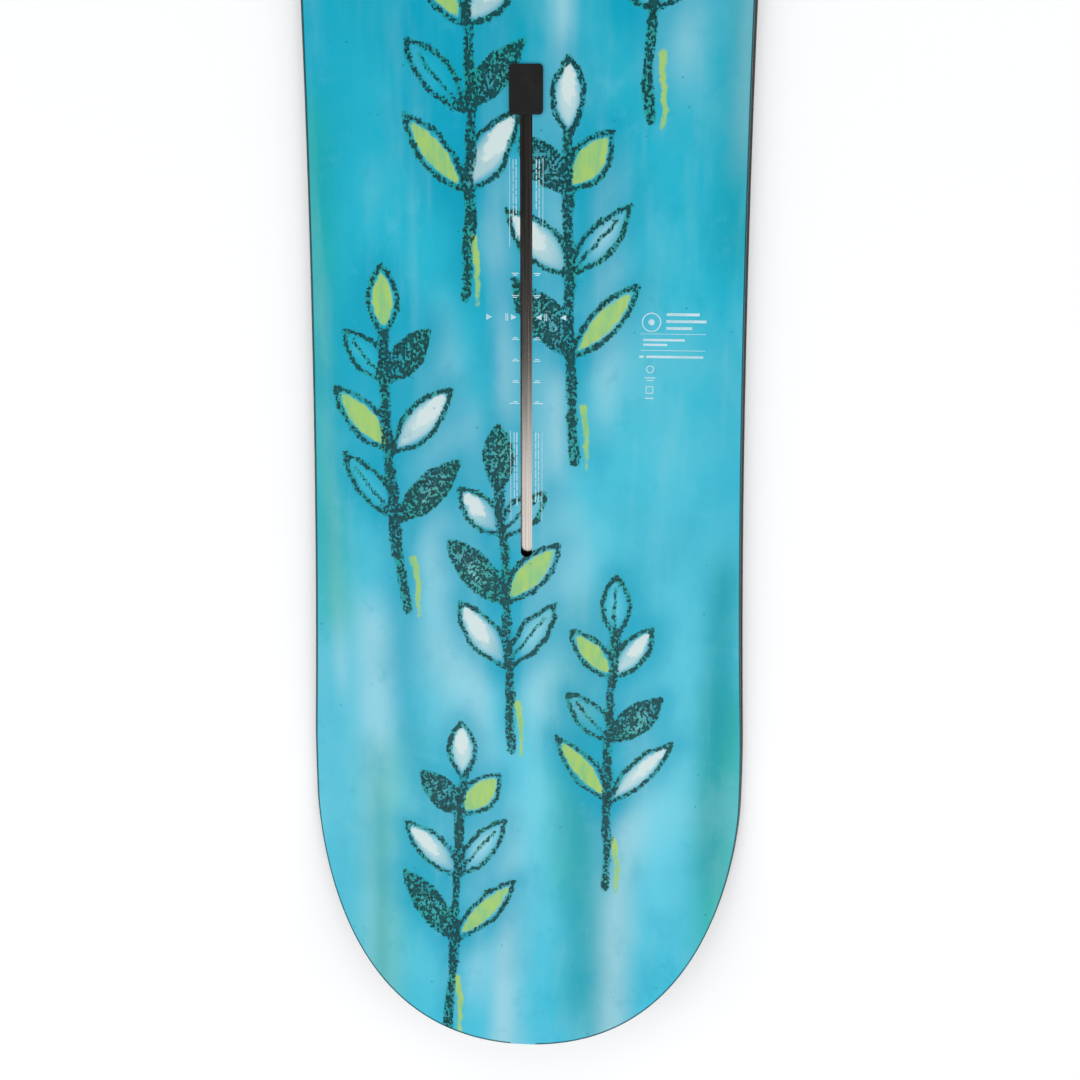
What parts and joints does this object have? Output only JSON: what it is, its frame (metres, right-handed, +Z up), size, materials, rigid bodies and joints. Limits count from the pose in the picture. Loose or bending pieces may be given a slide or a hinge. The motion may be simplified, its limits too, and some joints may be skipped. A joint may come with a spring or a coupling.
{
  "type": "snowboard",
  "caption": "Directional snowboard with slotted binding channels, steel edges, wood core, sliding nuts and push-in plugs.",
  "frame": {"origin": "on the ground under the board, halfway between the two tips", "axes": "+X to the right-hand edge seen from above, +Y from tail to nose, +Z up through the topsheet"},
  "size_m": [0.2822, 1.52, 0.0531],
  "materials": {
    "topsheet": "satin printed topsheet, teal and green washes with dark drawn leafy sprigs",
    "base_sheet": "sintered polyethylene, waxed",
    "fibreglass": "cured glass laminate",
    "tip_spacer": "black plastic",
    "edge_steel": "ground steel",
    "rubber_foil": "thin damping rubber",
    "sidewall": "black ABS, milled bevel",
    "poplar": "planed poplar",
    "beech": "planed beech",
    "rail_steel": "satin stainless steel",
    "end_block": "moulded black nylon",
    "nut_steel": "zinc plated steel",
    "plug_rubber": "moulded black rubber"
  },
  "bodies": {
    "board": {"base_sheet": "base_sheet", "lower_fibreglass": "fibreglass", "upper_fibreglass": "fibreglass", "topsheet": "topsheet", "nose_spacer": "tip_spacer", "tail_spacer": "tip_spacer", "steel_edge_left": "edge_steel", "steel_edge_right": "edge_steel", "edge_foil_left": "rubber_foil", "edge_foil_right": "rubber_foil", "sidewall_left": "sidewall", "sidewall_right": "sidewall", "core_stringer_left_1": "poplar", "core_stringer_left_2": "beech", "core_stringer_left_3": "poplar", "core_stringer_left_4": "beech", "core_stringer_right_1": "poplar", "core_stringer_right_2": "beech", "core_stringer_right_3": "poplar", "core_stringer_right_4": "beech", "core_centre_nose": "beech", "core_centre_middle": "beech", "core_centre_tail": "beech", "nose_channel_rail": "rail_steel", "nose_channel_block_inner": "end_block", "nose_channel_block_outer": "end_block", "tail_channel_rail": "rail_steel", "tail_channel_block_inner": "end_block", "tail_channel_block_outer": "end_block"},
    "nose_plug": {"nose_channel_plug": "plug_rubber"},
    "nose_nut_outer": {"nose_channel_nut_outer": "nut_steel"},
    "nose_nut_inner": {"nose_channel_nut_inner": "nut_steel"},
    "tail_plug": {"tail_channel_plug": "plug_rubber"},
    "tail_nut_outer": {"tail_channel_nut_outer": "nut_steel"},
    "tail_nut_inner": {"tail_channel_nut_inner": "nut_steel"}
  },
  "joints": [
    {"name": "nose_plug_lift", "type": "slide", "parent": "board", "child": "nose_plug", "axis": [0, 0, 1], "range_m": [0, 0.03]},
    {"name": "nose_nut_slide", "type": "slide", "parent": "board", "child": "nose_nut_outer", "axis": [0, 1, 0], "range_m": [0, 0.263]},
    {"name": "nose_nut_inner_slide", "type": "slide", "parent": "board", "child": "nose_nut_inner", "axis": [0, 1, 0], "range_m": [0, 0.21]},
    {"name": "tail_plug_lift", "type": "slide", "parent": "board", "child": "tail_plug", "axis": [0, 0, 1], "range_m": [0, 0.03]},
    {"name": "tail_nut_slide", "type": "slide", "parent": "board", "child": "tail_nut_outer", "axis": [0, -1, 0], "range_m": [0, 0.263]},
    {"name": "tail_nut_inner_slide", "type": "slide", "parent": "board", "child": "tail_nut_inner", "axis": [0, -1, 0], "range_m": [0, 0.21]}
  ],
  "couplings": [
    {"joint": "nose_nut_inner_slide", "follows": "nose_nut_slide", "ratio": 0.797},
    {"joint": "tail_nut_inner_slide", "follows": "tail_nut_slide", "ratio": 0.797}
  ]
}
